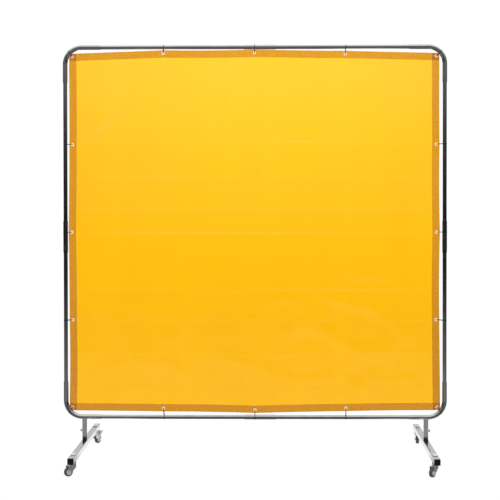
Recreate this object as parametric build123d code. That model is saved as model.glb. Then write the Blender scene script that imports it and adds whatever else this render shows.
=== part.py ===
"""Welding curtain screen.

A tinted vinyl curtain is tied into an upright frame of round steel tube. Straight tubes slide into
sleeved corner elbows and couplers. Each bottom elbow has a leg post that drops over a stub on a
square-tube base bar, and each base bar stands on two swivel casters.

Frame: origin on the floor under the middle of the screen, +X to the right, +Y to the back, +Z up.
All sizes are in millimetres.
"""
import os
from math import hypot

from build123d import *

# ---------------------------------------------------------------- frame
FRAME_WIDTH = 1829.0  # over the outsides of the two uprights
FRAME_HEIGHT_CC = 1764.0  # bottom rail centreline to top rail centreline
BOTTOM_RAIL_Z = 201.0
SLEEVE_OD = 22.2  # elbows, couplers and leg posts
SLEEVE_ID = 19.8
TUBE_OD = 19.05  # straight tubes that slide into the sleeves
TUBE_ID = 16.65
BEND_RADIUS = 80.0  # centreline of the elbows
ELBOW_LEG = 168.0  # from the corner of the centrelines to the elbow's end
COUPLER_LENGTH = 150.0
COUPLER_SHIFT_X = 25.0  # the rail couplers sit right of the middle
COUPLER_SHIFT_Z = -20.0  # the upright couplers sit below the middle
INSERTION = 60.0  # length of tube inside each sleeve

HALF_X = (FRAME_WIDTH - SLEEVE_OD) / 2
TOP_RAIL_Z = BOTTOM_RAIL_Z + FRAME_HEIGHT_CC
MID_Z = BOTTOM_RAIL_Z + FRAME_HEIGHT_CC / 2

# ---------------------------------------------------------------- curtain
CURTAIN_WIDTH = 1764.0
CURTAIN_HEIGHT = 1713.0
CURTAIN_MID_Z = MID_Z + 1.5
FILM = 0.4  # one layer of vinyl
HEM_WIDTH = 35.0  # a second layer, folded back all round
CORNER_ROUND = 38.0  # keeps the sheet's corners clear of the elbows
EYELET_INSET = 15.0
EYELET_OD = 15.0
EYELET_ID = 8.0
EYELET_NECK_OD = 9.2
EYELET_FLANGE = 0.6
TIE_WIDTH = 3.6
TIE_THICKNESS = 1.2
TIE_CLEARANCE = 0.3

# ---------------------------------------------------------------- bases
BASE_X = 815.0  # leg posts and base bars, from the middle of the screen
BASE_LENGTH = 600.0  # over the end caps
BAR_SIZE = 28.0
BAR_WALL = 1.5
BAR_TOP = 90.0
CAP_FLANGE = 3.0
STUB_TOP = 180.0
STUB_ID = 16.05
CLAMP_Z = 137.0
CLAMP_NUT_FACE = 14.6  # outer face of the weld nut, from the post's axis
CLAMP_HEX = 10.0
BAR_BOTTOM = BAR_TOP - BAR_SIZE

# ---------------------------------------------------------------- casters
CASTER_Y = 245.0
CASTER_TRAIL = 24.0
WHEEL_R = 20.5
WHEEL_WIDTH = 16.0
HUB_R = 12.5
FORK_INSIDE = 19.0
FORK_SHEET = 2.0
HOOD_TOP = 49.0
HOOD_FRONT = 30.0
LEG_FRONT = 27.5  # front edge of the fork's legs, below the hood
CUP_TOP = 58.0
PIVOT_X = 26.0  # brake pedal's rivet, along the trail
PIVOT_Z = 44.3
CUP_FLOOR = 51.5
KINGPIN_R = 4.2
AXLE_R = 3.0
AXLE_BOSS_R = 5.9
RIVET_R = 2.0
STUD_R = 4.9
CASTER_NUT = 17.0  # across flats
AXLE_HEX = 10.0
FIT = 0.05  # radial running clearance

# name: (side in X, side in Y, direction of trail in degrees from +X, has a brake)
CASTERS = {
    "front_left": (-1, -1, 225.0, False),
    "front_right": (1, -1, 230.0, False),
    "rear_left": (-1, 1, 66.5, True),
    "rear_right": (1, 1, 81.6, True),
}
SIDES = {"left": -1, "right": 1}


# ---------------------------------------------------------------- helpers
def ring(outer, inner, low, high):
    """A tube on the Z axis, given by its diameters."""
    body = Cylinder(outer / 2, high - low) - Cylinder(inner / 2, high - low + 2)
    return Pos(0, 0, (low + high) / 2) * body


def rod(radius, low, high):
    return Pos(0, 0, (low + high) / 2) * Cylinder(radius, high - low)


def on_x(shape):
    """Lays a shape that stands on the Z axis along +X."""
    return Rot(0, 90, 0) * shape


def on_y(shape):
    """Lays a shape that stands on the Z axis along -Y."""
    return Rot(90, 0, 0) * shape


def turned(points):
    """A solid of revolution about Z, from points (radius, height)."""
    face = Plane.XZ * make_face(Polyline(*points, close=True))
    return revolve(face, Axis.Z)


def hexagon(flats, low, high, bore):
    """A hexagonal prism on Z with chamfered corners and a round bore."""
    prism = extrude(RegularPolygon(flats / 2, 6, major_radius=False), high - low)
    prism = Pos(0, 0, low) * prism
    tall = high - low
    point = flats / 2 + tall + 0.6
    cone_up = turned([(0, low), (point, low), (point - tall, high), (0, high)])
    cone_down = turned([(0, low), (point - tall, low), (point, high), (0, high)])
    body = prism & cone_up & cone_down
    return body - rod(bore, low - 1, high + 1) if bore else body


def write(name, shape):
    solids = shape.solids()
    result = solids[0] if len(solids) == 1 else Compound(children=list(solids))
    export_step(result, f"parts/{name}.step")


# ---------------------------------------------------------------- tube frame
def elbow_path():
    """The top right elbow's centreline, with its corner at the origin."""
    return FilletPolyline((-ELBOW_LEG, 0, 0), (0, 0, 0), (0, 0, -ELBOW_LEG), radius=BEND_RADIUS)


def elbow(side, level, diameters):
    """A corner elbow: side is -1 for left and 1 for right, level -1 for bottom and 1 for top."""
    path = elbow_path()
    section = Circle(diameters[0] / 2)
    if diameters[1]:
        section -= Circle(diameters[1] / 2)
    body = sweep(Plane(origin=path @ 0, z_dir=path % 0) * section, path=path)
    body = Rot(0 if level > 0 else 180, 0, 0 if side > 0 else 180) * body
    return Pos(side * HALF_X, 0, TOP_RAIL_Z if level > 0 else BOTTOM_RAIL_Z) * body


def rails(z):
    """The two straight tubes of a rail and the coupler that joins them."""
    outer_end = HALF_X - ELBOW_LEG + INSERTION
    half = COUPLER_LENGTH / 2
    left = ring(TUBE_OD, TUBE_ID, -outer_end, COUPLER_SHIFT_X - half + INSERTION)
    right = ring(TUBE_OD, TUBE_ID, COUPLER_SHIFT_X + half - INSERTION, outer_end)
    coupler = ring(SLEEVE_OD, SLEEVE_ID, COUPLER_SHIFT_X - half, COUPLER_SHIFT_X + half)
    return [Pos(0, 0, z) * on_x(piece) for piece in (left, right, coupler)]


def uprights(side):
    """The two straight tubes of an upright and the coupler that joins them."""
    low_end = BOTTOM_RAIL_Z + ELBOW_LEG - INSERTION
    high_end = TOP_RAIL_Z - ELBOW_LEG + INSERTION
    middle = MID_Z + COUPLER_SHIFT_Z
    half = COUPLER_LENGTH / 2
    lower = ring(TUBE_OD, TUBE_ID, low_end, middle - half + INSERTION)
    upper = ring(TUBE_OD, TUBE_ID, middle + half - INSERTION, high_end)
    coupler = ring(SLEEVE_OD, SLEEVE_ID, middle - half, middle + half)
    return [Pos(side * HALF_X, 0, 0) * piece for piece in (lower, upper, coupler)]


def leg_post(side):
    """The sleeve under a bottom elbow, coped to it, with the clamp bolt's hole on its outer side."""
    post = Pos(side * BASE_X, 0, 0) * ring(SLEEVE_OD, SLEEVE_ID, BAR_TOP, BOTTOM_RAIL_Z)
    post -= elbow(side, -1, (SLEEVE_OD, 0))
    hole = Pos(side * (BASE_X + SLEEVE_OD / 2), 0, CLAMP_Z) * on_x(Cylinder(3.3, 12))
    return post - hole


def build_frame():
    for level, row in ((1, "top"), (-1, "bottom")):
        z = TOP_RAIL_Z if level > 0 else BOTTOM_RAIL_Z
        left, right, coupler = rails(z)
        write(f"{row}_rail_left", left)
        write(f"{row}_rail_right", right)
        write(f"coupler_{row}", coupler)
        for name, side in SIDES.items():
            write(f"elbow_{row}_{name}", elbow(side, level, (SLEEVE_OD, SLEEVE_ID)))
    for name, side in SIDES.items():
        lower, upper, coupler = uprights(side)
        write(f"upright_lower_{name}", lower)
        write(f"upright_upper_{name}", upper)
        write(f"coupler_{name}", coupler)
        write(f"leg_post_{name}", leg_post(side))


# ---------------------------------------------------------------- curtain
def eyelet_places():
    """Each eyelet: its x and z, the middle of the tube that it is tied to, and that tube's radius."""
    ex = CURTAIN_WIDTH / 2 - EYELET_INSET
    ez = CURTAIN_HEIGHT / 2 - EYELET_INSET
    places = []
    for i in (-1, -0.5, 0, 0.5, 1):
        for j in (-1, -0.5, 0, 0.5, 1):
            if max(abs(i), abs(j)) < 1:
                continue
            x = i * ex
            z = CURTAIN_MID_Z + j * ez
            radius = (SLEEVE_OD if i == 0 or j == 0 else TUBE_OD) / 2
            if abs(i) < 1:
                tube = (x, TOP_RAIL_Z if j > 0 else BOTTOM_RAIL_Z)
            elif abs(j) < 1:
                tube = (i * HALF_X, z)
            else:
                # the elbow's arc, straight out from its centre through the eyelet
                cx = i * (HALF_X - BEND_RADIUS)
                cz = MID_Z + j * (FRAME_HEIGHT_CC / 2 - BEND_RADIUS)
                reach = BEND_RADIUS / hypot(x - cx, z - cz)
                tube = (cx + (x - cx) * reach, cz + (z - cz) * reach)
                radius = SLEEVE_OD / 2
            places.append((x, z, tube, radius))
    return places


def curtain(places):
    """One sheet of film with a second layer round its edge, pierced for the eyelets."""
    outline = RectangleRounded(CURTAIN_WIDTH, CURTAIN_HEIGHT, CORNER_ROUND)
    window = Rectangle(CURTAIN_WIDTH - 2 * HEM_WIDTH, CURTAIN_HEIGHT - 2 * HEM_WIDTH)
    sheet = Plane.XZ * extrude(outline, FILM / 2, both=True)
    hem = Pos(0, FILM, 0) * (Plane.XZ * extrude(outline - window, FILM / 2, both=True))
    body = Pos(0, 0, CURTAIN_MID_Z) * (sheet + hem)
    for x, z, _, _ in places:
        body -= Pos(x, 0, z) * on_y(Cylinder(EYELET_NECK_OD / 2 + FIT, 6))
    return body


def eyelet():
    """A pressed metal eyelet on the Y axis, with a flange on each face of the hem."""
    front = -FILM / 2 - EYELET_FLANGE
    back = FILM * 1.5 + EYELET_FLANGE
    neck = ring(EYELET_NECK_OD, EYELET_ID, front, back)
    flange = ring(EYELET_OD, EYELET_ID, 0, EYELET_FLANGE)
    body = neck + Pos(0, 0, front) * flange + Pos(0, 0, back - EYELET_FLANGE) * flange
    return Rot(-90, 0, 0) * body


def tie(x, z, tube, radius):
    """A cable tie: a flat strap through an eyelet and round the tube, its head and its trimmed tail."""
    distance = hypot(tube[0] - x, tube[1] - z)
    near = 2.0  # the strap's inner radius where it turns through the eyelet
    far = radius + TIE_CLEARANCE
    start = 5.0  # the turn is on the tube's side of the eyelet, round its flanges
    loops = []
    for grow in (0, TIE_THICKNESS):
        eye = Pos(start, 0) * Circle(near + grow)
        round_tube = Pos(distance, 0) * Circle(far + grow)
        loops.append(make_hull(eye.edges() + round_tube.edges()))
    strap = extrude(loops[1] - loops[0], TIE_WIDTH / 2, both=True)
    out = far + TIE_THICKNESS
    head = Pos(distance - 1, out + 1.2, 0) * Box(6, 4.4, 5.4)
    tail_end = distance + far
    tail = Pos((distance + tail_end) / 2, out + 1.8, 0) * Box(tail_end - distance, TIE_THICKNESS, TIE_WIDTH)
    body = strap + head + tail
    # local x points from the eyelet to the tube and local y points to the back
    frame = Plane(origin=(x, 0, z), x_dir=(tube[0] - x, 0, tube[1] - z), z_dir=turn_axis(x, z, tube))
    return frame * body


def turn_axis(x, z, tube):
    """The direction that makes +Y the second axis of a plane whose first axis points to the tube."""
    along = Vector(tube[0] - x, 0, tube[1] - z).normalized()
    return along.cross(Vector(0, 1, 0))


def build_curtain():
    places = eyelet_places()
    write("curtain", curtain(places))
    write("eyelets", Compound(children=[Pos(x, 0, z) * eyelet() for x, z, _, _ in places]))
    write("cable_ties", Compound(children=[tie(*place) for place in places]))


# ---------------------------------------------------------------- bases
def base_bar(side):
    """A square tube along Y, with a hole through top and bottom for each caster's stud."""
    outline = RectangleRounded(BAR_SIZE, BAR_SIZE, 2.5)
    inside = RectangleRounded(BAR_SIZE - 2 * BAR_WALL, BAR_SIZE - 2 * BAR_WALL, 1.0)
    bar = Plane.XZ * extrude(outline - inside, BASE_LENGTH / 2 - CAP_FLANGE, both=True)
    for y in (-CASTER_Y, CASTER_Y):
        bar -= Pos(0, y, 0) * Cylinder(5.2, BAR_SIZE + 4)
    return Pos(side * BASE_X, 0, BAR_TOP - BAR_SIZE / 2) * bar


def end_cap(side, end):
    """A plastic plug with a square flange over the bar's end."""
    room = BAR_SIZE - 2 * BAR_WALL - 0.4
    flange = extrude(RectangleRounded(BAR_SIZE, BAR_SIZE, 2.5), CAP_FLANGE)
    flange = chamfer(flange.faces().sort_by(Axis.Z)[-1].edges(), 0.8)
    plug = RectangleRounded(room, room, 1.0) - RectangleRounded(room - 4, room - 4, 0.8)
    body = flange + Pos(0, 0, -14) * extrude(plug, 14)
    body = Rot(90 if end < 0 else -90, 0, 0) * body
    y = end * (BASE_LENGTH / 2 - CAP_FLANGE)
    return Pos(side * BASE_X, y, BAR_TOP - BAR_SIZE / 2) * body


def clamp_nut(side):
    """A nut welded to the outer side of the leg post."""
    nut = on_x(hexagon(CLAMP_HEX, SLEEVE_OD / 2 - 1.5, CLAMP_NUT_FACE, 3 + FIT))
    nut -= Cylinder(SLEEVE_OD / 2, 40)
    return Pos(side * BASE_X, 0, CLAMP_Z) * (Rot(0, 0, 0 if side > 0 else 180) * nut)


def clamp_bolt(side):
    """The bolt that is screwed through the nut until it bears on the stub inside the post."""
    tip = TUBE_OD / 2 + 0.3
    face = CLAMP_NUT_FACE + 0.3
    bolt = rod(3.0, tip, face + 1) + hexagon(CLAMP_HEX, face, face + 3.8, 0)
    return Pos(side * BASE_X, 0, CLAMP_Z) * (Rot(0, 0, 0 if side > 0 else 180) * on_x(bolt))


def build_bases():
    for name, side in SIDES.items():
        write(f"base_bar_{name}", base_bar(side))
        write(f"base_stub_{name}", Pos(side * BASE_X, 0, 0) * ring(TUBE_OD, STUB_ID, BAR_TOP, STUB_TOP))
        write(f"clamp_bolt_{name}", clamp_bolt(side))
        for place, end in (("front", -1), ("rear", 1)):
            write(f"end_cap_{place}_{name}", end_cap(side, end))
    write("clamp_nuts", Compound(children=[clamp_nut(side) for side in SIDES.values()]))


# ---------------------------------------------------------------- casters
# Each caster piece is built round its own swivel axis, trailing along +X, and then placed.
def caster_stem():
    """The fixed half: a round-ended stud, the upper race and the kingpin with its peened end."""
    return turned([
        (0, 45.0), (6.0, 45.0), (6.5, 45.5), (6.5, 46.7), (KINGPIN_R, 46.7), (KINGPIN_R, 55.0), (10.8, 55.0),
        (10.8, CUP_TOP + 0.4), (14.0, CUP_TOP + 0.4), (14.0, BAR_BOTTOM - 1.0), (13.0, BAR_BOTTOM),
        (STUD_R, BAR_BOTTOM), (STUD_R, 101.0), (STUD_R - 0.7, 102.0), (STUD_R - 2.2, 102.8), (0, 103.2),
    ])


def swivel_balls():
    """The ring of balls between the stem's race and the fork's cup."""
    return [Rot(0, 0, 36 * i) * (Pos(8.0, 0, 53.25) * Sphere(1.6)) for i in range(10)]


def fork(with_brake):
    """A pressed fork: a cup for the swivel, a hood over the wheel and a leg down each side."""
    outside = FORK_INSIDE / 2 + FORK_SHEET
    leg_bottom = 16.6
    profile = Polyline((-9.0, HOOD_TOP), (-9.0, 38.0), (-6.0, 34.0), (14.0, leg_bottom), (24.0, leg_bottom),
                       (LEG_FRONT, 18.0), (LEG_FRONT, 31.0), (HOOD_FRONT, 37.0), (HOOD_FRONT, HOOD_TOP),
                       close=True)
    side_face = make_face(profile) + Pos(CASTER_TRAIL, WHEEL_R) * Circle(AXLE_BOSS_R)
    shell = Plane.XZ * extrude(side_face, outside, both=True)
    shell = fillet(shell.edges().filter_by(Axis.X).sort_by(Axis.Z)[-2:], 4.0)
    ceiling = HOOD_TOP - FORK_SHEET
    shell -= Pos(0, 0, ceiling / 2) * Box(120, FORK_INSIDE, ceiling)
    cup = turned([(0, ceiling), (12.0, ceiling), (14.0, 53.0), (14.0, CUP_TOP), (12.4, CUP_TOP),
                  (12.4, CUP_FLOOR), (0, CUP_FLOOR)])
    body = shell + cup
    body -= rod(KINGPIN_R + FIT, 40, 60)
    body -= Pos(CASTER_TRAIL, 0, WHEEL_R) * on_y(Cylinder(AXLE_R + FIT, 60))
    if with_brake:
        body -= Pos(PIVOT_X, 0, PIVOT_Z) * on_y(Cylinder(RIVET_R + FIT, 60))
    return body


def axle():
    """The wheel's bolt, with its hexagonal head on one side and a nut on the other."""
    face = FORK_INSIDE / 2 + FORK_SHEET
    bolt = rod(AXLE_R, -face - 1, face + 5.2) + hexagon(AXLE_HEX, -face - 4, -face, 0)
    nut = hexagon(AXLE_HEX, face, face + 4.6, 0)
    return Pos(CASTER_TRAIL, 0, WHEEL_R) * on_y(bolt + nut)


def tyre():
    half = WHEEL_WIDTH / 2
    profile = Polyline((HUB_R, -half + 0.6), (HUB_R, half - 0.6), (HUB_R + 1.5, half), (WHEEL_R - 3.2, half),
                       (WHEEL_R - 0.9, half - 1.2), (WHEEL_R, half - 3.6), (WHEEL_R, -half + 3.6),
                       (WHEEL_R - 0.9, -half + 1.2), (WHEEL_R - 3.2, -half), (HUB_R + 1.5, -half), close=True)
    body = revolve(Plane.XZ * make_face(profile), Axis.Z)
    return Pos(CASTER_TRAIL, 0, WHEEL_R) * on_y(body)


def hub():
    """A moulded hub: a rim, a thinner web and a boss that runs on the axle."""
    half = WHEEL_WIDTH / 2
    bore = AXLE_R + FIT
    body = turned([
        (bore, -9.2), (5.0, -9.2), (5.8, -4.0), (8.6, -4.0), (9.4, -half), (HUB_R, -half + 0.2),
        (HUB_R, half - 0.2), (9.4, half), (8.6, 4.0), (5.8, 4.0), (5.0, 9.2), (bore, 9.2),
    ])
    return Pos(CASTER_TRAIL, 0, WHEEL_R) * on_y(body)


def brake_pedal():
    """A pressed lever that straddles the hood, with a tongue that bears on the tyre when pushed down."""
    gap = 0.4
    arm_in = FORK_INSIDE / 2 + FORK_SHEET + gap
    sheet = 1.5
    arm = Polyline((PIVOT_X - 4, PIVOT_Z - 3.4), (PIVOT_X + 8, PIVOT_Z - 3.4), (40.0, 52.0), (40.0, 54.0),
                   (33.0, 52.8), (PIVOT_X - 4, PIVOT_Z + 3.6), close=True)
    arms = Plane.XZ * extrude(make_face(arm), arm_in + sheet, both=True)
    arms -= Box(200, 2 * arm_in, 200)
    tread = Polyline((31.6, 50.9), (40.0, 54.6), (48.0, 58.6), (49.2, 58.0), (49.2, 55.4), (47.8, 55.4),
                     (47.6, 56.6), (40.4, 53.0), (32.2, 49.4), close=True)
    plate = Plane.XZ * extrude(make_face(tread), 16.0, both=True)
    neck = Polyline((33.0, 51.6), (36.8, 44.0), (36.8, 38.6), (38.2, 38.6), (38.3, 44.4), (35.4, 51.4),
                    close=True)
    tongue = Plane.XZ * extrude(make_face(neck), 6.0, both=True)
    body = arms + plate + tongue
    body -= Pos(PIVOT_X, 0, PIVOT_Z) * on_y(Cylinder(RIVET_R + FIT, 60))
    return body


def brake_rivet():
    """The rivet that the pedal turns on, headed over outside both arms."""
    outer = FORK_INSIDE / 2 + FORK_SHEET + 0.4 + 1.5 + 0.3
    shank = rod(RIVET_R, -outer - 0.5, outer + 0.5)
    heads = rod(3.6, outer, outer + 1.4) + rod(3.6, -outer - 1.4, -outer)
    return Pos(PIVOT_X, 0, PIVOT_Z) * on_y(shank + heads)


def build_casters():
    nuts, washers, balls = [], [], []
    for name, (side, end, angle, brake) in CASTERS.items():
        place = Pos(side * BASE_X, end * CASTER_Y, 0) * Rot(0, 0, angle)
        write(f"caster_stem_{name}", place * caster_stem())
        write(f"caster_fork_{name}", place * fork(brake))
        write(f"wheel_axle_{name}", place * axle())
        write(f"wheel_tyre_{name}", place * tyre())
        write(f"wheel_hub_{name}", place * hub())
        if brake:
            write(f"brake_pedal_{name}", place * brake_pedal())
            write(f"brake_rivet_{name}", place * brake_rivet())
        upright = Pos(side * BASE_X, end * CASTER_Y, 0)
        washers.append(upright * ring(20.0, 10.4, BAR_TOP, BAR_TOP + 1.6))
        nuts.append(upright * hexagon(CASTER_NUT, BAR_TOP + 1.6, BAR_TOP + 9.6, STUD_R + FIT))
        balls += [place * ball for ball in swivel_balls()]
    write("caster_nuts", Compound(children=nuts))
    write("caster_washers", Compound(children=washers))
    write("swivel_balls", Compound(children=balls))


os.makedirs("parts", exist_ok=True)
build_frame()
build_curtain()
build_bases()
build_casters()
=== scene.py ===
"""The looks of a welding curtain screen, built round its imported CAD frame. Everything is in metres."""
import math
import random

import bmesh
import bpy
import numpy as np
from mathutils import Matrix, Vector


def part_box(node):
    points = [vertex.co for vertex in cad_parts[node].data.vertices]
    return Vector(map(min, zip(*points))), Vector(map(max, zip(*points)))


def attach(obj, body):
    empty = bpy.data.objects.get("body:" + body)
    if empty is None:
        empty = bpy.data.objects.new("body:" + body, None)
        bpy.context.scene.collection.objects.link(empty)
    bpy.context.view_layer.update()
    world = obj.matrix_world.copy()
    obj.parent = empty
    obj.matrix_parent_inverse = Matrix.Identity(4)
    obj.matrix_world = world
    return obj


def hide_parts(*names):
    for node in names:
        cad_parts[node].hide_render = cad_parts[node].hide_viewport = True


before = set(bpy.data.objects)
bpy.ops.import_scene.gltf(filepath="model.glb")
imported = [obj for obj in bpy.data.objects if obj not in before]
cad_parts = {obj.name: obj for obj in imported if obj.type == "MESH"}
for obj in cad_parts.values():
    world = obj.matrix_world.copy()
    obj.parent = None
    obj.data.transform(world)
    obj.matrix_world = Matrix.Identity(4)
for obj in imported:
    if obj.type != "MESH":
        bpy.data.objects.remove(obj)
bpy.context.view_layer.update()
MM = 0.001


# ---------------------------------------------------------------- places, from the frame
curtain_low, curtain_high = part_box("curtain")
WIDTH = curtain_high.x - curtain_low.x
HEIGHT = curtain_high.z - curtain_low.z
MID_Z = (curtain_high.z + curtain_low.z) / 2
HALF_W, HALF_H = WIDTH / 2, HEIGHT / 2
upright_low, upright_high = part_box("upright_upper_right")
rail_low, rail_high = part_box("top_rail_right")
foot_low, foot_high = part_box("bottom_rail_right")
elbow_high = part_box("elbow_top_right")[1]
UPRIGHT_X = (upright_low.x + upright_high.x) / 2
TOP_Z = (rail_low.z + rail_high.z) / 2
BOTTOM_Z = (foot_low.z + foot_high.z) / 2
TUBE_R = (rail_high.z - rail_low.z) / 2
SLEEVE_R = elbow_high.y
BEND_R = 80 * MM  # centreline of the elbows
HEM = 35 * MM
INSET = 15 * MM  # eyelets, from the curtain's edges
FILM = 0.36 * MM
FLAP_FRONT = 0.2 * MM  # the folded-back layer of the hem
FLAP_BACK = 0.6 * MM
EYELET_R = 7.5 * MM
EYELET_HOLE_R = 4.0 * MM
TUCK_FROM = 51 * MM  # how far from an elbow's centre the corner starts to bend back
TUCK_SLOPE = 0.45


# ---------------------------------------------------------------- node materials
class Shader:
    """A node material, built a node at a time."""

    def __init__(self, name):
        self.material = bpy.data.materials.new(name)
        self.material.use_nodes = True
        self.tree = self.material.node_tree
        self.tree.nodes.clear()
        self.place = self.node("TexCoord").outputs["Object"]

    def node(self, kind, values=None, **settings):
        made = self.tree.nodes.new("ShaderNode" + kind)
        for key, value in settings.items():
            setattr(made, key, value)
        for key, value in (values or {}).items():
            if isinstance(value, bpy.types.NodeSocket):
                self.tree.links.new(value, made.inputs[key])
            else:
                made.inputs[key].default_value = value
        return made

    def noise(self, scale, detail=3.0, stretch=(1, 1, 1), rough=0.5, distortion=0.0):
        """A noise from 0 to 1, with features about 1 / scale metres across."""
        where = self.node("Mapping", {"Vector": self.place, "Scale": stretch}).outputs[0]
        values = {"Vector": where, "Scale": scale, "Detail": detail, "Roughness": rough}
        values["Distortion"] = distortion
        return self.node("TexNoise", values).outputs[0]

    def span(self, value, low, high, start=0.0, end=1.0):
        """value, stretched so that start to end becomes low to high."""
        values = {"Value": value, "From Min": start, "From Max": end, "To Min": low, "To Max": high}
        return self.node("MapRange", values).outputs[0]

    def blend(self, factor, first, second):
        """The first colour where factor is 0 and the second where it is 1."""
        made = self.node("Mix", data_type="RGBA")
        self.tree.links.new(factor, made.inputs[0])
        for index, value in ((6, first), (7, second)):
            if isinstance(value, bpy.types.NodeSocket):
                self.tree.links.new(value, made.inputs[index])
            else:
                made.inputs[index].default_value = (*value, 1.0)
        return made.outputs[2]

    def stops(self, value, colours):
        """A colour that follows value, from a list of (value, colour)."""
        low, high = colours[0][0], colours[-1][0]
        ramp = self.node("ValToRGB", {0: self.span(value, 0.0, 1.0, low, high)})
        elements = ramp.color_ramp.elements
        while len(elements) < len(colours):
            elements.new(0.5)
        for element, (at, colour) in zip(elements, colours):
            element.position = (at - low) / (high - low)
            element.color = (*colour, 1.0)
        return ramp.outputs[0]

    def scaled(self, colour, share):
        """A linked colour made darker by a share."""
        return self.node("VectorMath", {0: colour, 3: share}, operation="SCALE").outputs[0]

    def math(self, operation, first, second=0.0, third=0.0):
        made = self.node("Math", {0: first, 1: second, 2: third}, operation=operation)
        return made.outputs[0]

    def bump(self, height, distance, strength=1.0, under=None):
        values = {"Height": height, "Distance": distance, "Strength": strength}
        if under is not None:
            values["Normal"] = under
        return self.node("Bump", values).outputs[0]

    def finish(self, surface):
        self.node("OutputMaterial", {"Surface": surface})
        return self.material


def plated(name, light, dark, rough, grain=(1, 1, 1), lines=0.35, smudge=14.0, metal=1.0, painted_dark_foot=None):
    """Plated steel: a bright skin with faint polishing lines, smudges and small dull specks.

    The painted dark foot, given as two heights, is a painted reflection: the colour darkens to near black
    towards the lower end."""
    s = Shader(name)
    patches = s.noise(smudge, 4, rough=0.6)
    specks = s.noise(900, 2, rough=0.7)
    polish = s.noise(60, 2, stretch=grain)
    worn = s.span(specks, 0.0, 1.0, 0.62, 0.75)
    tone = s.blend(s.span(patches, 0, 1, 0.3, 0.72), dark, light)
    tone = s.blend(s.math("MULTIPLY", worn, 0.35), tone, tuple(c * 0.55 for c in dark))
    # Painted reflection: the colour turns near black below the given heights, standing in for the dark
    # reflection at the post's foot.
    if painted_dark_foot:
        height = s.node("SeparateXYZ", {0: s.place}).outputs["Z"]
        tone = s.blend(s.span(height, 0, 1, *painted_dark_foot), (0.035, 0.035, 0.04), tone)
    roughness = s.math("ADD", s.span(patches, rough * 0.75, rough * 1.35, 0.3, 0.7),
                       s.math("MULTIPLY", worn, 0.12))
    height = s.math("ADD", s.math("MULTIPLY", polish, lines), s.math("MULTIPLY", s.noise(220, 3), 0.6))
    skin = s.node("BsdfPrincipled", {
        "Base Color": tone, "Metallic": metal, "Roughness": roughness,
        "Normal": s.bump(height, 0.02 * MM, 0.6),
    })
    return s.finish(skin.outputs[0])


def moulded(name, colour, worn_colour, rough, grain_scale, grain_depth, specular=0.5):
    """Moulded plastic, nylon or rubber: a fine grain, soft tone changes and paler rubbed patches."""
    s = Shader(name)
    patches = s.noise(45, 4, rough=0.6)
    grain = s.noise(grain_scale, 2, rough=0.6)
    rubbed = s.span(s.math("MULTIPLY", patches, s.noise(260, 3)), 0.0, 1.0, 0.30, 0.46)
    tone = s.blend(s.span(patches, 0, 1, 0.25, 0.75), tuple(c * 0.82 for c in colour), colour)
    tone = s.blend(s.math("MULTIPLY", rubbed, 0.6), tone, worn_colour)
    skin = s.node("BsdfPrincipled", {
        "Base Color": tone, "Roughness": s.span(grain, rough - 0.08, rough + 0.08, 0.3, 0.7),
        "Specular IOR Level": specular, "Normal": s.bump(grain, grain_depth, 0.7),
    })
    return s.finish(skin.outputs[0])


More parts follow.
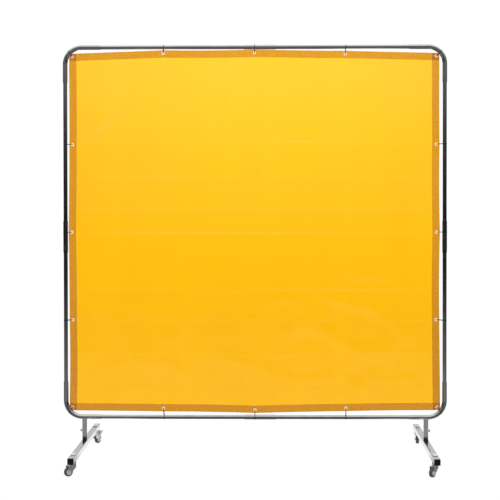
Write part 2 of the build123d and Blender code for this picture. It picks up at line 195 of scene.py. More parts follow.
def vinyl(name, tints_and_painted_light, scatter_and_painted_glow, clear, rough, cloudy, crease_painted_sheen=None):
    """Tinted see-through vinyl: most light goes straight through and is coloured, some is scattered.

    The tint and the scattered colour are given as stops (height in metres, colour); where they change with
    height they are a painted light gradient. The crease is a painted sheen: a pale curved mark in the film,
    given as its centre's x and z, and its radius."""
    s = Shader(name)
    tall = s.node("SeparateXYZ", {0: s.place}).outputs["Z"]
    tint_and_painted_light, scatter_painted_glow = s.stops(tall, tints_and_painted_light), s.stops(tall, scatter_and_painted_glow)
    haze = s.noise(3.0, 3, rough=0.5)
    streaks = s.noise(8.0, 3, stretch=(1.0, 1.0, 0.12), rough=0.5)
    fine = s.noise(55, 4, rough=0.55)
    pebble = s.noise(700, 2, rough=0.6)
    tone = s.blend(s.span(streaks, 0, 1, 0.3, 0.7), s.scaled(tint_and_painted_light, 0.985), tint_and_painted_light)
    height = s.math("ADD", s.math("MULTIPLY", fine, 1.0), s.math("MULTIPLY", pebble, 0.06))
    normal = s.bump(height, 0.25 * MM, 0.5)
    through = s.node("BsdfTransparent", {"Color": tone}).outputs[0]
    # The scattered colour carries the painted glow, which changes with height.
    body = s.blend(s.span(haze, 0, 1, 0.3, 0.7), s.scaled(scatter_painted_glow, 0.94), scatter_painted_glow)
    lit = s.node("BsdfTranslucent", {"Color": body, "Normal": normal}).outputs[0]
    face = s.node("BsdfDiffuse", {"Color": body, "Normal": normal}).outputs[0]
    scatter = s.node("MixShader", {0: 0.45, 1: lit, 2: face}).outputs[0]
    share = s.span(haze, 1 - clear - cloudy, 1 - clear + cloudy, 0.3, 0.7)
    # The crease mark is a painted sheen: a pale curved line where a crease would catch the light.
    if crease_painted_sheen:
        middle_x, middle_z, radius = crease_painted_sheen
        across = s.node("SeparateXYZ", {0: s.place}).outputs["X"]
        flat = s.node("CombineXYZ", {"X": across, "Z": tall}).outputs[0]
        reach = s.node("VectorMath", {0: flat, 1: (middle_x, 0, middle_z)}, operation="DISTANCE")
        off = s.math("ABSOLUTE", s.math("SUBTRACT", reach.outputs["Value"], radius), 0.0)
        painted_crease_sheen = s.math("MULTIPLY", s.span(off, 1, 0, 0, 5 * MM), s.span(fine, 0.3, 1, 0.4, 0.6))
        painted_crease_sheen = s.math("MULTIPLY", painted_crease_sheen, s.span(across, 0, 1, middle_x + 30 * MM, middle_x + 70 * MM))
        painted_crease_sheen = s.math("MULTIPLY", painted_crease_sheen, s.span(tall, 1, 0, middle_z - 25 * MM, middle_z + 12 * MM))
        share = s.math("ADD", share, s.math("MULTIPLY", painted_crease_sheen, 0.14))
    inside = s.node("MixShader", {0: share, 1: through, 2: scatter}).outputs[0]
    gloss = s.node("BsdfGlossy", {
        "Color": (1, 1, 1, 1), "Normal": normal,
        "Roughness": s.span(fine, rough * 0.7, rough * 1.4, 0.3, 0.7),
    }).outputs[0]
    leaving = s.node("NewGeometry").outputs["Backfacing"]  # light isn't bent, so both faces reflect alike
    edge = s.node("Fresnel", {"IOR": s.span(leaving, 1.5, 1 / 1.5), "Normal": normal}).outputs[0]
    return s.finish(s.node("MixShader", {0: edge, 1: inside, 2: gloss}).outputs[0])


post_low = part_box("leg_post_left")[0].z
# Heights of the painted dark reflection at the foot of each post.
PAINTED_FOOT_HEIGHTS = (post_low + 12 * MM, post_low + 24 * MM)
ALONG_X, ALONG_Y, ALONG_Z = (14, 1, 1), (1, 14, 1), (1, 1, 14)
MATERIALS = {
    "chrome_x": plated("chrome_x", (0.60, 0.60, 0.61), (0.50, 0.50, 0.51), 0.09, ALONG_X),
    "chrome_z": plated("chrome_z", (0.60, 0.60, 0.61), (0.50, 0.50, 0.51), 0.09, ALONG_Z),
    "sleeve": plated("chrome_sleeve", (0.62, 0.62, 0.63), (0.52, 0.52, 0.53), 0.11, smudge=20.0),
    "post": plated("post_plating_painted_foot", (0.66, 0.66, 0.66), (0.56, 0.56, 0.57), 0.24, ALONG_Z,
                   metal=0.72, painted_dark_foot=PAINTED_FOOT_HEIGHTS),
    "bar": plated("bright_bar", (0.80, 0.80, 0.81), (0.70, 0.70, 0.71), 0.14, ALONG_Y),
    "zinc": plated("zinc_pressing", (0.74, 0.74, 0.73), (0.54, 0.54, 0.55), 0.32, smudge=80.0, metal=0.85),
    "fastener": plated("zinc_fastener", (0.90, 0.90, 0.89), (0.76, 0.76, 0.76), 0.24,
                       smudge=150.0, metal=0.6),
    # Painted glint: the caster nuts are near white and almost matt, standing in for the bright reflection on
    # their tops.
    "nut": plated("nut_painted_glint", (0.97, 0.97, 0.97), (0.94, 0.94, 0.94), 0.30, smudge=150.0, metal=0.1),
    # Painted shade: the washers are near black, standing in for the dark below the caster nuts.
    "washer": plated("washer_painted_shade", (0.16, 0.16, 0.16), (0.10, 0.10, 0.10), 0.34, smudge=150.0, metal=0.8),
    "eyelet": plated("nickel_eyelet", (0.97, 0.96, 0.94), (0.92, 0.90, 0.87), 0.30, smudge=200.0, metal=0.05),
    "ball": plated("steel_ball", (0.60, 0.60, 0.61), (0.5, 0.5, 0.5), 0.10, smudge=300.0),
    "bolt": plated("black_bolt", (0.060, 0.060, 0.064), (0.035, 0.035, 0.038), 0.36, smudge=200.0),
    "cap": moulded("cap_plastic", (0.004, 0.004, 0.0045), (0.012, 0.012, 0.013), 0.46, 1800, 0.03 * MM),
    "tie": moulded("tie_nylon", (0.008, 0.008, 0.009), (0.018, 0.018, 0.018), 0.34, 2600, 0.015 * MM),
    "tyre": moulded("tyre_rubber", (0.085, 0.085, 0.088), (0.145, 0.143, 0.136), 0.66, 1500, 0.05 * MM, 0.3),
    "hub": moulded("hub_plastic", (0.80, 0.80, 0.79), (0.86, 0.86, 0.84), 0.40, 1600, 0.03 * MM),
    # The scattered colour's stops paint the light's gradient: its blue part rises towards the top.
    "film": vinyl("tinted_film_painted_glow", [(0.30, (0.945, 0.685, 0.022)), (1.85, (0.945, 0.685, 0.022))], [
        (0.30, (0.95, 0.50, 0.40)), (0.42, (0.95, 0.50, 0.38)), (0.62, (0.95, 0.50, 0.20)),
        (0.80, (0.95, 0.50, 0.14)), (1.05, (0.95, 0.50, 0.23)), (1.30, (0.95, 0.50, 0.50)),
        (1.45, (0.95, 0.50, 0.54)), (1.70, (0.95, 0.50, 0.83)), (1.85, (0.95, 0.50, 1.00))],
        0.94, 0.07, 0.006,
        crease_painted_sheen=(-0.838, MID_Z - HALF_H + 1.479, 0.175)),
    "sealed": vinyl("sealed_edge", [(0.30, (0.92, 0.675, 0.05)), (1.85, (0.92, 0.675, 0.05))], [
        (0.30, (0.86, 0.50, 0.70)), (1.85, (0.86, 0.50, 0.70))], 0.945, 0.12, 0.008),
    # The hem's tint changes with height: a painted light gradient over the hem's even tint.
    "flap": vinyl("tinted_hem_painted_light", [
        (0.24, (0.868, 0.782, 0.06)), (0.38, (0.848, 0.750, 0.06)), (0.85, (0.878, 0.796, 0.06)),
        (1.33, (0.888, 0.812, 0.06)), (1.71, (0.858, 0.780, 0.06)), (1.93, (0.846, 0.786, 0.06))], [
        (0.30, (0.74, 0.37, 0.80)), (1.85, (0.74, 0.37, 0.80))], 0.95, 0.10, 0.006),
}
PREFIXES = {
    "top_rail": "chrome_x", "bottom_rail": "chrome_x", "upright": "chrome_z", "base_stub": "chrome_z",
    "elbow": "sleeve", "coupler": "sleeve", "leg_post": "post", "base_bar": "bar", "end_cap": "cap",
    "caster_fork": "zinc", "caster_stem": "zinc", "brake_pedal": "zinc", "brake_rivet": "fastener",
    "caster_nuts": "nut", "caster_washers": "washer", "clamp_nuts": "fastener",
    "wheel_axle": "fastener", "wheel_tyre": "tyre", "wheel_hub": "hub", "swivel_balls": "ball",
    "clamp_bolt": "bolt", "curtain": "film", "eyelets": "eyelet", "cable_ties": "tie",
}
for node_name, node_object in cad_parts.items():
    finish_name = next(PREFIXES[p] for p in PREFIXES if node_name.startswith(p))
    if not node_object.material_slots:
        node_object.data.materials.append(None)
    for material_slot in node_object.material_slots:
        material_slot.material = MATERIALS[finish_name]


# ---------------------------------------------------------------- mesh helpers
def mesh_object(name, points, faces, material, smooth=True):
    mesh = bpy.data.meshes.new(name)
    mesh.from_pydata([tuple(p) for p in points], [], faces)
    mesh.validate()
    mesh.update()
    made = bpy.data.objects.new(name, mesh)
    bpy.context.scene.collection.objects.link(made)
    mesh.materials.append(MATERIALS[material])
    mesh.polygons.foreach_set("use_smooth", [smooth] * len(mesh.polygons))
    return made


def outward(made):
    """Points a closed piece's faces outward."""
    work = bmesh.new()
    work.from_mesh(made.data)
    bmesh.ops.recalc_face_normals(work, faces=work.faces)
    work.to_mesh(made.data)
    work.free()


def sharp(made, degrees=35):
    """Smooth shading, with a hard line where faces meet at more than this angle."""
    made.data.set_sharp_from_angle(angle=math.radians(degrees))


def step(value):
    """0 below 0, 1 above 1, and a smooth rise between."""
    value = np.clip(value, 0.0, 1.0)
    return value * value * (3 - 2 * value)


# ---------------------------------------------------------------- the curtain's shape
def eyelet_places():
    """Each eyelet: x, z, the point of the tube's centreline that it is tied to, and the tube's radius."""
    ex, ez = HALF_W - INSET, HALF_H - INSET
    places = []
    for i in (-1, -0.5, 0, 0.5, 1):
        for j in (-1, -0.5, 0, 0.5, 1):
            if max(abs(i), abs(j)) < 1:
                continue
            x, z = i * ex, MID_Z + j * ez
            radius = SLEEVE_R if i == 0 or j == 0 else TUBE_R
            if abs(i) < 1:
                tube = Vector((x, 0, TOP_Z if j > 0 else BOTTOM_Z))
            elif abs(j) < 1:
                tube = Vector((i * UPRIGHT_X, 0, z))
            else:
                centre = elbow_centre(i, j)
                tube = centre + (Vector((x, 0, z)) - centre).normalized() * BEND_R
                radius = SLEEVE_R
            places.append((i, j, x, z, tube, radius))
    return places


def elbow_centre(i, j):
    return Vector((i * (UPRIGHT_X - BEND_R), 0, (TOP_Z - BEND_R) if j > 0 else (BOTTOM_Z + BEND_R)))


EYELETS = eyelet_places()

# Fold lines left by packing: distance below the top edge, or right of the middle, how high the
# crease stands, and how far its memory reaches.
FOLDS_DOWN = [
    (0.279, 0.35, 0.022), (0.434, -0.40, 0.020), (0.600, 0.32, 0.024), (0.747, -0.30, 0.022),
    (0.862, 0.75, 0.026), (1.133, -0.42, 0.024), (1.280, 0.40, 0.022), (1.437, -0.42, 0.020),
    (1.599, 0.38, 0.022),
]
SHARPNESS = 2.7  # how high a fold line's own narrow ridge stands
FOLDS_ACROSS = [(-0.441, 0.30, 0.020), (0.008, -0.34, 0.022), (0.449, 0.30, 0.020)]

# Soft wrinkles: points (right of the middle, above the bottom edge), height and half width.
WRINKLES = [
    ([(0.22, 0.66), (0.30, 0.58), (0.42, 0.52), (0.56, 0.50), (0.66, 0.42), (0.74, 0.30)], 2.6, 0.030),
    ([(0.10, 0.34), (0.20, 0.42), (0.33, 0.40), (0.44, 0.30), (0.58, 0.26), (0.72, 0.34)], 3.0, 0.034),
    ([(-0.32, 0.20), (-0.18, 0.27), (0.00, 0.22), (0.16, 0.14), (0.34, 0.16), (0.50, 0.10)], 2.4, 0.028),
    ([(0.36, 0.72), (0.46, 0.64), (0.60, 0.66), (0.72, 0.58)], 1.8, 0.022),
    ([(-0.62, 0.30), (-0.52, 0.22), (-0.40, 0.24), (-0.28, 0.12)], 1.8, 0.026),
    ([(-0.78, 0.52), (-0.66, 0.44), (-0.58, 0.30), (-0.60, 0.16)], 1.5, 0.030),
    ([(0.52, 0.18), (0.62, 0.12), (0.74, 0.16), (0.80, 0.08)], 1.8, 0.020),
    ([(0.04, 0.52), (0.14, 0.56), (0.24, 0.50), (0.30, 0.40)], 1.6, 0.024),
]

# Small sharp creases: the same, in millimetres of height.
CREASES = [
    ([(-0.792, 1.310), (-0.745, 1.325), (-0.708, 1.358), (-0.684, 1.402)], 3.8, 0.0032),
    ([(-0.686, 1.395), (-0.680, 1.440), (-0.656, 1.492)], 2.8, 0.0032),
    ([(0.035, 1.279), (0.120, 1.283), (0.220, 1.280), (0.345, 1.283)], 1.8, 0.0032),
    ([(-0.700, 1.590), (-0.560, 1.600), (-0.430, 1.592)], 0.45, 0.005),
    ([(0.430, 0.900), (0.520, 0.862), (0.640, 0.866)], 0.5, 0.006),
    ([(-0.520, 0.700), (-0.430, 0.660), (-0.300, 0.668)], 0.5, 0.006),
    ([(0.610, 0.380), (0.640, 0.300), (0.630, 0.220)], 0.8, 0.007),
    ([(0.330, 0.300), (0.390, 0.240), (0.400, 0.170)], 0.8, 0.007),
]


FINE_X = [-0.790, -0.652]  # where the mesh is finer, for the sharpest creases
FINE_Z = [1.272, 1.290, 1.306, 1.490]  # the same, above the bottom edge


def smooth_line(points, rounds=3):
    """A polyline with its corners cut, so that a wrinkle has no kinks."""
    line = np.array(points, float)
    for _ in range(rounds):
        first, second = line[:-1], line[1:]
        cut = np.stack([first * 0.75 + second * 0.25, first * 0.25 + second * 0.75], 1).reshape(-1, 2)
        line = np.vstack([line[:1], cut, line[-1:]])
    return line


def ridge(x, z, points, height, half_width):
    """A smooth ridge along a line that fades out at both ends."""
    line = smooth_line(points)
    best = np.full(x.shape, 1e9)
    along = np.zeros(x.shape)
    length = np.concatenate([[0], np.cumsum(np.linalg.norm(np.diff(line, axis=0), axis=1))])
    for k in range(len(line) - 1):
        ax, az = line[k]
        dx, dz = line[k + 1] - line[k]
        t = np.clip(((x - ax) * dx + (z - az) * dz) / (dx * dx + dz * dz + 1e-12), 0, 1)
        away = np.hypot(x - ax - t * dx, z - az - t * dz)
        closer = away < best
        best = np.where(closer, away, best)
        along = np.where(closer, length[k] + t * (length[k + 1] - length[k]), along)
    share = along / length[-1]
    fade = step(share / 0.25) * step((1 - share) / 0.25)
    return height * MM * fade * np.exp(-(best / half_width) ** 2)


def billow(x, z, seed, count, low, high):
    """Gentle waves in random directions, with wavelengths from low to high metres."""
    draw = random.Random(seed)
    total = np.zeros(x.shape)
    for _ in range(count):
        turn = draw.uniform(0, math.tau)
        wave = math.tau / draw.uniform(low, high)
        phase = draw.uniform(0, math.tau)
        total += np.sin(wave * (x * math.cos(turn) + z * math.sin(turn)) + phase)
    return total / math.sqrt(count)


def sharp_fold(distance, height, half_width):
    return height * MM * np.exp(-(distance / (half_width * MM)) ** 2)


def relief(x, z):
    """How far the film stands behind the plane y = 0, at a point of the flat sheet."""
    down, right, up = MID_Z + HALF_H - z, x, z - (MID_Z - HALF_H)
    depth = 2.2 * MM * billow(x, z, 5, 7, 0.9, 2.2) + 0.55 * MM * billow(x, z, 11, 9, 0.22, 0.5)
    low_part = step((0.75 - up) / 0.7)
    depth = depth + low_part * 0.8 * MM * billow(x, z * 1.3, 23, 9, 0.16, 0.36)
    depth = depth + (0.15 + low_part) * 0.30 * MM * billow(x, z, 31, 16, 0.07, 0.16)
    for drop, height, reach in FOLDS_DOWN:
        strength = 0.75 + 0.25 * np.sin(x * 3.1 + drop * 17)
        off = down - drop
        depth = depth + height * MM * strength * np.exp(-np.abs(off) / reach)
        depth = depth - sharp_fold(off, SHARPNESS * abs(height) ** 0.5 * strength, 2.4)
    for place, height, reach in FOLDS_ACROSS:
        strength = 0.7 + 0.3 * np.sin(z * 4.3 + place * 9)
        depth = depth + height * MM * strength * np.exp(-np.abs(right - place) / reach)
    for points, height, half_width in WRINKLES:
        depth = depth - ridge(right, up, points, height, half_width)
    for points, height, half_width in CREASES:
        depth = depth - ridge(right, up, points, height, half_width)
    edge = np.minimum(HALF_W - np.abs(x), HALF_H - np.abs(z - MID_Z))
    depth = depth * (0.30 + 0.70 * step(edge / 0.16))
    calm = np.ones(x.shape)
    pull = np.zeros(x.shape)
    for n, (_, _, ex, ez, _, _) in enumerate(EYELETS):
        away = np.hypot(x - ex, z - ez)
        turn = np.arctan2(z - ez, x - ex)
        calm = calm * step((away - 9 * MM) / (60 * MM))
        fan = np.cos(turn * 7 + n * 1.7) * step((away - 12 * MM) / (30 * MM)) * np.exp(-away / 0.055)
        pull = pull + 0.9 * MM * fan
    depth = depth * calm + pull
    return depth


def tuck(x, z):
    """How far the film's corners lean back behind the elbows, at x and z."""
    depth = np.zeros(x.shape)
    for i in (-1, 1):
        for j in (-1, 1):
            centre = elbow_centre(i, j)
            outer = ((x - centre.x) * i > 0) & ((z - centre.z) * j > 0)
            over = np.hypot(x - centre.x, z - centre.z) - TUCK_FROM
            soft = np.where(over < 0, 0, np.where(over < 4 * MM, over * over / (8 * MM), over - 2 * MM))
            depth = depth + np.where(outer, TUCK_SLOPE * soft, 0.0)
    return depth


# How far each tie pulls the film's edge towards its tube, from left to right or bottom to top, and how
# far the edge sags back between two ties.
PULLS = {
    "top": [-5.0, 10.3, 12.3, 5.5, -5.5], "bottom": [-3.0, 1.0, 8.0, -1.7, -7.0],
    "left": [6.0, 3.8, 7.1, 2.4, 3.0], "right": [1.3, -3.3, -1.0, -3.2, -4.0],
}
SAGS = {
    "top": [0.3, 2.3, 0.8, 0.2], "bottom": [0.8, 2.0, 1.1, 1.3],
    "left": [3.0, 1.1, 0.9, 1.0], "right": [0.4, 2.2, 2.3, 1.0],
}


def edge_pull(side, place, reach):
    """The pull on one edge, in metres, at a place from -1 to 1 along it between its corner eyelets."""
    knots = np.linspace(-1, 1, 5)
    inside = np.clip(place, -1, 1)
    bay = np.abs(np.sin(math.pi * 2 * inside)) ** 0.8
    sag = np.array(SAGS[side])[np.clip(((inside + 1) * 2).astype(int), 0, 3)]
    return (np.interp(inside, knots, PULLS[side]) - sag * bay) * MM * reach


def pulled(x, z):
    """Where a point of the flat film ends up in the film's plane: each tie pulls its edge outward."""
    along_x, along_z = x / (HALF_W - INSET), (z - MID_Z) / (HALF_H - INSET)
    reach = {
        "top": step((z - MID_Z) / HALF_H / 0.9), "bottom": step((MID_Z - z) / HALF_H / 0.9),
        "right": step(x / HALF_W / 0.9), "left": step(-x / HALF_W / 0.9),
    }
    x_out = edge_pull("right", along_z, reach["right"]) - edge_pull("left", along_z, reach["left"])
    z_out = edge_pull("top", along_x, reach["top"]) - edge_pull("bottom", along_x, reach["bottom"])
    return x + x_out, z + z_out


def stops(low, high, pitch, creases, fine=(-7, -3.5, -1.5, 0, 1.5, 3.5, 7)):
    """Grid lines from low to high, closer together beside each crease."""
    plain = list(np.linspace(low, high, int(round((high - low) / pitch)) + 1))
    close = [c + f * MM for c in creases for f in fine if low < c + f * MM < high]
    kept = [p for p in plain if all(abs(p - c) > 2.2 * MM for c in close) or p in (low, high)]
    line = sorted(set(kept + close))
    return np.array([line[0]] + [b for a, b in zip(line, line[1:]) if b - a > 0.3 * MM])


def refined(line, ends, pitch):
    """Grid lines with an even, closer pitch between each pair of ends."""
    for low, high in zip(ends[::2], ends[1::2]):
        close = np.linspace(low, high, int(round((high - low) / pitch)) + 1)
        line = np.concatenate([line[(line < low - pitch / 2) | (line > high + pitch / 2)], close])
    return np.sort(line)


def sheet_mesh(name, xs, zs, front, back, material, keep=None):
    """A closed sheet over a grid, with the film's relief, between two depths behind its middle."""
    gx, gz = np.meshgrid(xs, zs)
    px, pz = pulled(gx, gz)
    depth = relief(gx, gz) + tuck(px, pz)
    rows, columns = gx.shape
    faces_here = np.ones((rows - 1, columns - 1), bool) if keep is None else keep(gx, gz)
    count = rows * columns
    points = np.concatenate([
        np.stack([px, depth + front, pz], -1).reshape(-1, 3),
        np.stack([px, depth + back, pz], -1).reshape(-1, 3),
    ])
    faces = []
    for r in range(rows - 1):
        for c in range(columns - 1):
            if not faces_here[r, c]:
                continue
            a, b = r * columns + c, r * columns + c + 1
            d, e = a + columns, b + columns
            faces.append((a, b, e, d))
            faces.append((d + count, e + count, b + count, a + count))
            if r == 0 or not faces_here[r - 1, c]:
                faces.append((b, a, a + count, b + count))
            if r == rows - 2 or not faces_here[r + 1, c]:
                faces.append((d, e, e + count, d + count))
            if c == 0 or not faces_here[r, c - 1]:
                faces.append((a, d, d + count, a + count))
            if c == columns - 2 or not faces_here[r, c + 1]:
                faces.append((e, b, b + count, e + count))
    made = mesh_object(name, points, faces, material)
    loose = bmesh.new()
    loose.from_mesh(made.data)
    bmesh.ops.delete(loose, geom=[v for v in loose.verts if not v.link_faces], context="VERTS")
    loose.to_mesh(made.data)
    loose.free()
    sharp(made, 40)
    return made


def build_curtain():
    fold_z = [MID_Z + HALF_H - f[0] for f in FOLDS_DOWN]
    fold_x = [f[0] for f in FOLDS_ACROSS]
    hem_x = [-HALF_W + HEM, HALF_W - HEM]
    hem_z = [MID_Z - HALF_H + HEM, MID_Z + HALF_H - HEM]
    low_z, high_z = MID_Z - HALF_H, MID_Z + HALF_H
    edge = (2, 5, 9, 14, 19, 25, 30)
    edge_x = [s * (HALF_W - e * MM) for s in (-1, 1) for e in edge]
    edge_z = [MID_Z + s * (HALF_H - e * MM) for s in (-1, 1) for e in edge]
    xs = refined(stops(-HALF_W, HALF_W, 13.5 * MM, fold_x), FINE_X, 2.8 * MM)
    zs = refined(stops(low_z, high_z, 13.5 * MM, fold_z), [low_z + z for z in FINE_Z], 2.8 * MM)
    kept_x = [x for x in xs if abs(x) < HALF_W - 33 * MM or abs(x) == HALF_W]
    xs = np.array(sorted(set(kept_x + edge_x + hem_x)))
    zs = np.array(sorted(set([z for z in zs if abs(z - MID_Z) < HALF_H - 33 * MM or z in (low_z, high_z)]
                             + edge_z + hem_z)))
    film = sheet_mesh("curtain_film", xs, zs, -0.2 * MM, -0.2 * MM + FILM, "film")
    film.data.materials.append(MATERIALS["sealed"])
    for face in film.data.polygons:
        middle = face.center
        if max(abs(middle.x) - HALF_W, abs(middle.z - MID_Z) - HALF_H) > -HEM:
            face.material_index = 1
    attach(film, "root")
    sides = {
        "left": (xs[xs <= -HALF_W + HEM + 1e-6], zs), "right": (xs[xs >= HALF_W - HEM - 1e-6], zs),
        "bottom": (xs, zs[zs <= low_z + HEM + 1e-6]), "top": (xs, zs[zs >= high_z - HEM - 1e-6]),
    }
    for side, (line_x, line_z) in sides.items():
        lift = 0.0 if side in ("left", "right") else 0.45 * MM
        flap = sheet_mesh(f"curtain_hem_{side}", line_x, line_z, FLAP_FRONT + lift, FLAP_BACK + lift, "flap")
        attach(flap, "root")
    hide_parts("curtain")


# ---------------------------------------------------------------- eyelets
def turned(profile, sides):
    """Points and faces of a ring about the Y axis, from a closed profile of (radius, y)."""
    points, faces = [], []
    n = len(profile)
    for k in range(sides):
        turn = math.tau * k / sides
        points += [Vector((r * math.cos(turn), y, r * math.sin(turn))) for r, y in profile]
    for k in range(sides):
        for m in range(n):
            a, b = k * n + m, k * n + (m + 1) % n
            c, d = ((k + 1) % sides) * n + (m + 1) % n, ((k + 1) % sides) * n + m
            faces.append((a, b, c, d))
    return points, faces


def eyelet_profile():
    """The barrel rolled over at the front, and the washer with its raised rim at the back."""
    front, back = -0.2, 1.05
    r0, r1 = EYELET_HOLE_R / MM, EYELET_R / MM
    outline = [
        (r0, back + 0.15), (r0, 0.2), (r0 + 0.1, front - 0.75), (r0 + 0.55, front - 1.15),
        (r0 + 1.3, front - 1.2), (r0 + 2.2, front - 0.95), (r1 - 0.35, front - 0.45),
        (r1, front - 0.12), (r1 - 0.25, front + 0.02),
        (r0 + 0.7, front), (r0 + 0.55, front + 0.15), (r0 + 0.55, back - 0.15), (r0 + 0.9, back),
        (r1 - 0.2, back), (r1, back + 0.15), (r1 - 0.35, back + 0.45), (r0 + 2.0, back + 0.65),
        (r0 + 1.1, back + 0.95), (r0 + 0.4, back + 0.85), (r0 + 0.05, back + 0.5),
    ]
    return [(r * MM, y * MM) for r, y in outline]


def eyelet_frame(i, j, x, z):
    """Where an eyelet sits on the film: it leans back at the tucked corners."""
    flat = np.array([x]), np.array([z])
    there = pulled(*flat)
    px, pz = (float(v[0]) for v in there)
    depth = float((relief(*flat) + tuck(*there))[0])
    if abs(i) == 1 and abs(j) == 1:
        out = (Vector((px, 0, pz)) - elbow_centre(i, j)).normalized()
        normal = (Vector((0, 1, 0)) - out * TUCK_SLOPE).normalized()
    else:
        normal = Vector((0, 1, 0))
    return Vector((px, depth, pz)), normal


def build_eyelets():
    points, faces = [], []
    ring_points, ring_faces = turned(eyelet_profile(), 40)
    for i, j, x, z, _, _ in EYELETS:
        centre, normal = eyelet_frame(i, j, x, z)
        turn = Vector((0, 1, 0)).rotation_difference(normal).to_matrix()
        start = len(points)
        points += [centre + turn @ p for p in ring_points]
        faces += [tuple(v + start for v in f) for f in ring_faces]
    made = mesh_object("curtain_eyelets", points, faces, "eyelet")
    outward(made)
    sharp(made, 50)
    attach(made, "root")
    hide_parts("eyelets")


# ---------------------------------------------------------------- cable ties
STRAP_W, STRAP_T = 3.0 * MM, 1.1 * MM
STRAP_TURN = 5.0 * MM  # the strap turns round the eyelet's flanges, on the tube's side of its hole


def loop_line(distance, far, near, start, parts=26):
    """The strap's centreline: round the tube, and back through the eyelet.

    x runs to the tube, y to the back."""
    far_c, near_c = far + STRAP_T / 2, near + STRAP_T / 2
    lean = math.asin((far_c - near_c) / (distance - start))
    line = []
    a0 = math.pi / 2 + lean
    for k in range(parts + 1):
        turn = a0 - 2 * a0 * k / parts
        line.append((distance + far_c * math.cos(turn), far_c * math.sin(turn)))
    b0 = -(math.pi / 2 + lean)
    sweep = 2 * math.pi - 2 * a0
    for k in range(parts // 2 + 1):
        turn = b0 - sweep * k / (parts // 2)
        line.append((start + near_c * math.cos(turn), near_c * math.sin(turn)))
    return line


def resample(line, pitch, closed=True):
    pts = [Vector((a, b, 0)) for a, b in line]
    if closed:
        pts.append(pts[0].copy())
    lengths = [0.0]
    for a, b in zip(pts, pts[1:]):
        lengths.append(lengths[-1] + (b - a).length)
    count = max(8, int(round(lengths[-1] / pitch)))
    out = []
    k = 0
    for n in range(count if closed else count + 1):
        at = lengths[-1] * n / count
        while k < len(lengths) - 2 and lengths[k + 1] < at:
            k += 1
        share = (at - lengths[k]) / max(lengths[k + 1] - lengths[k], 1e-9)
        out.append(pts[k].lerp(pts[k + 1], share))
    return out


def strap(line, closed, teeth, width=STRAP_W, thick=STRAP_T, taper=0.0, twist=0.0):
    """A flat strap along a line in its own XY plane, with cross teeth on its inner face.

    An open strap can twist as it leaves its start, and taper at its end."""
    points, faces = [], []
    n = len(line)
    for k, p in enumerate(line):
        before = line[k - 1] if closed or k > 0 else p
        after = line[(k + 1) % n] if closed or k < n - 1 else p
        along = (after - before).normalized()
        out = Vector((-along.y, along.x, 0))
        cut = 0.22 * thick if teeth and k % 2 else 0.0
        half = width / 2
        if taper and k > n - 5:
            half *= 1 - taper * (k - (n - 5)) / 4
        edge = 0.22 * thick
        section = [
            (-thick / 2 + cut, -half * 0.72), (-thick / 2 + edge, -half), (thick / 2 - edge, -half),
            (thick / 2, -half * 0.86), (thick / 2, half * 0.86), (thick / 2 - edge, half),
            (-thick / 2 + edge, half), (-thick / 2 + cut, half * 0.72),
        ]
        turn = twist * min(1.0, k / 4)
        up = Vector((0, 0, 1)) * math.cos(turn) - out * math.sin(turn)
        out = out * math.cos(turn) + Vector((0, 0, 1)) * math.sin(turn)
        points += [p + out * a + up * b for a, b in section]
    m = 8
    for k in range(n if closed else n - 1):
        for s in range(m):
            a, b = k * m + s, k * m + (s + 1) % m
            c, d = ((k + 1) % n) * m + (s + 1) % m, ((k + 1) % n) * m + s
            faces.append((a, b, c, d))
    if not closed:
        faces.append(tuple(range(m)))
        faces.append(tuple((n - 1) * m + s for s in reversed(range(m))))
    return points, faces


def tie_head():
    """The tie's head: a rounded block with a shallow pocket sunk into one end."""
    work = bmesh.new()
    bmesh.ops.create_cube(work, size=1.0, matrix=Matrix.Diagonal((6.0 * MM, 4.4 * MM, 5.4 * MM, 1)))
    bmesh.ops.bevel(work, geom=list(work.edges), offset=0.7 * MM, segments=3, profile=0.6, affect="EDGES")
    top = max(work.faces, key=lambda f: f.calc_center_median().x)
    bmesh.ops.inset_region(work, faces=[top], thickness=0.7 * MM)
    for v in top.verts:
        v.co.x -= 1.4 * MM
    points = [v.co.copy() for v in work.verts]
    work.verts.index_update()
    faces = [tuple(v.index for v in f.verts) for f in work.faces]
    work.free()
    return points, faces


